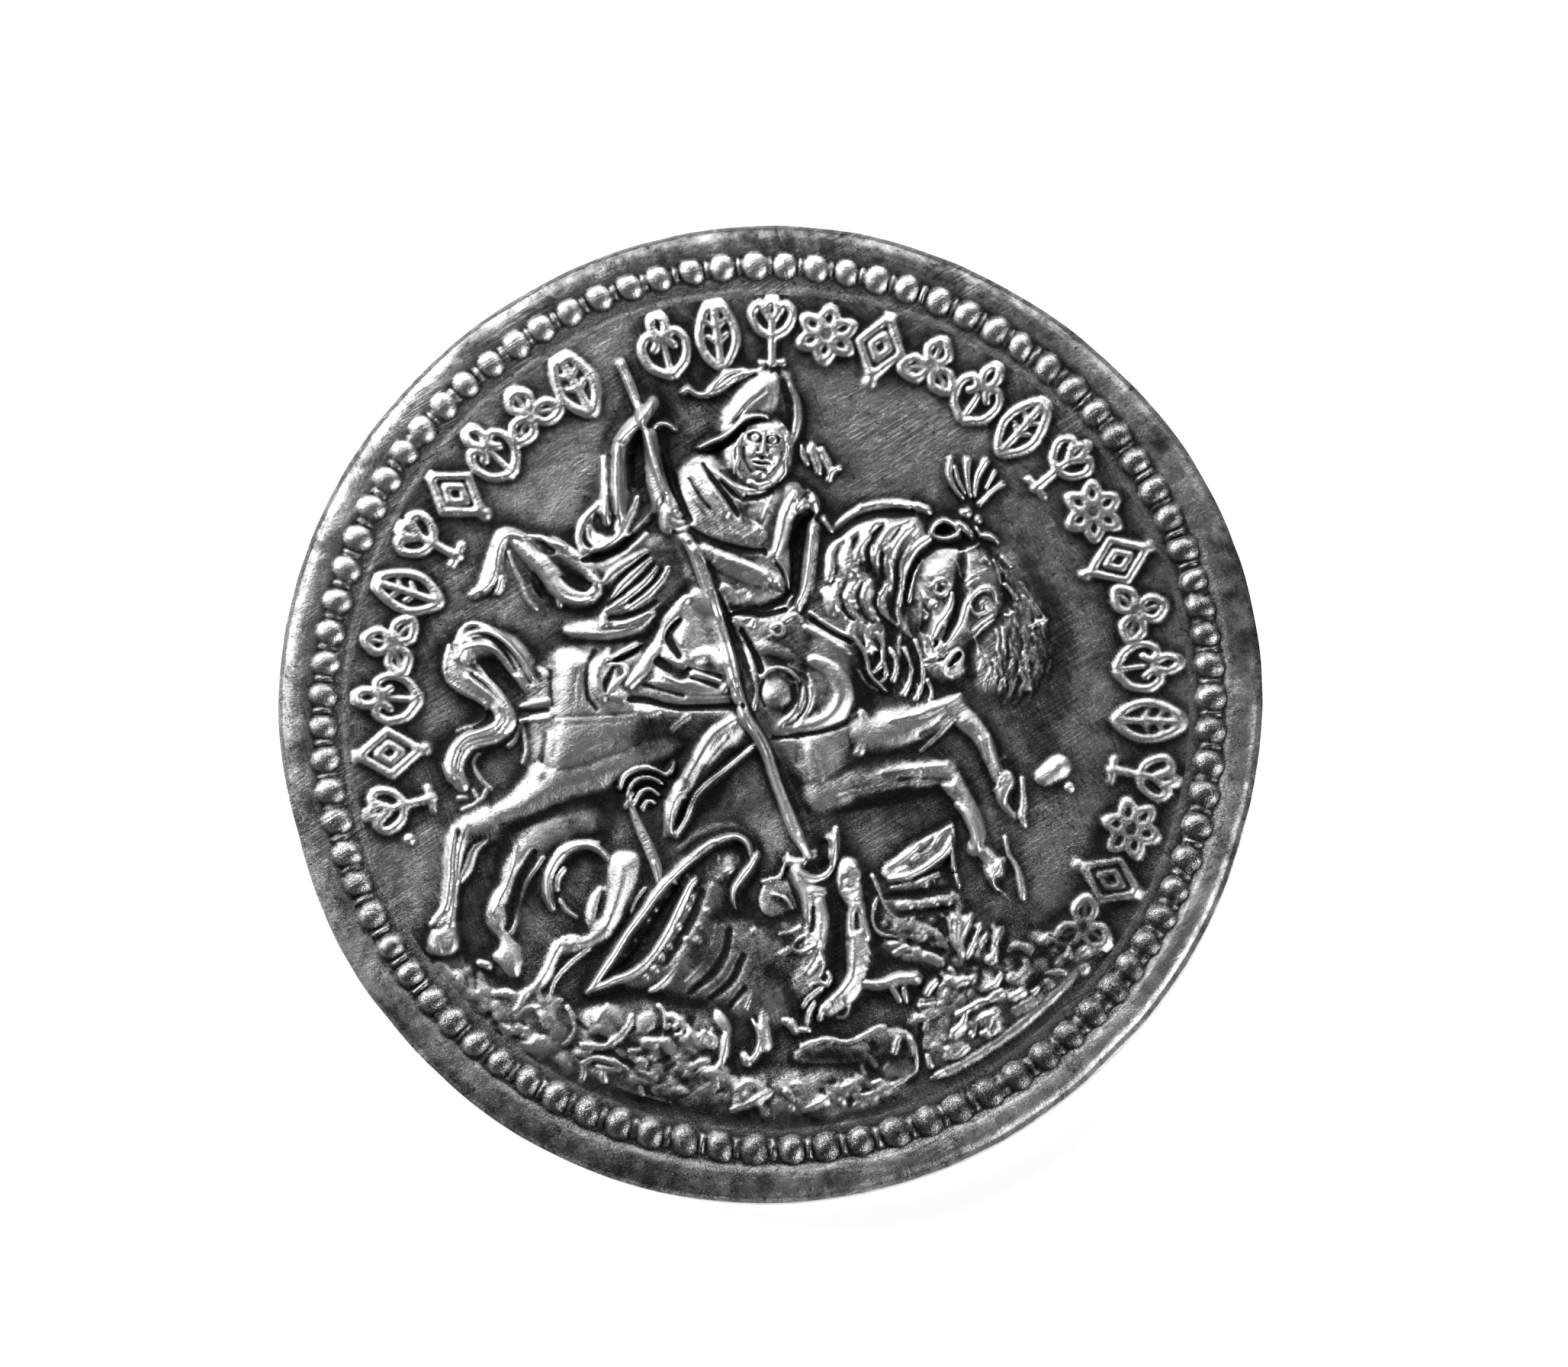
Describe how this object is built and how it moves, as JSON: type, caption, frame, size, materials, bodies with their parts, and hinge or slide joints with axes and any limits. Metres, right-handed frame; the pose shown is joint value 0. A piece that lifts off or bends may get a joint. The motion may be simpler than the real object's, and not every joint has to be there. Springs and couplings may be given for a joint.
{
  "type": "challenge coin",
  "caption": "Round antique-silver presentation medal with a rider-and-dragon relief, bead ring, ornament band and plain rounded edge.",
  "frame": {"origin": "middle of the flat rest rim on the reverse, on the medal's axis", "axes": "+Z out of the obverse along the medal's axis, +Y to the top of the relief, +X to the relief's right"},
  "size_m": [0.042, 0.042, 0.0028],
  "materials": {
    "silver_obverse": "antique oxidised silver: bright worn highs, near-black patina in the recesses",
    "silver_reverse": "antique oxidised silver, rubbed on the rest rim",
    "core_metal": "plain base metal, unfinished",
    "cement": "matt dark cement",
    "solder": "dull grey solder"
  },
  "bodies": {
    "root": {"obverse_shell": "silver_obverse", "reverse_shell": "silver_reverse", "core_disc": "core_metal", "relief_filler": "cement", "rim_solder": "solder"}
  },
  "joints": []
}
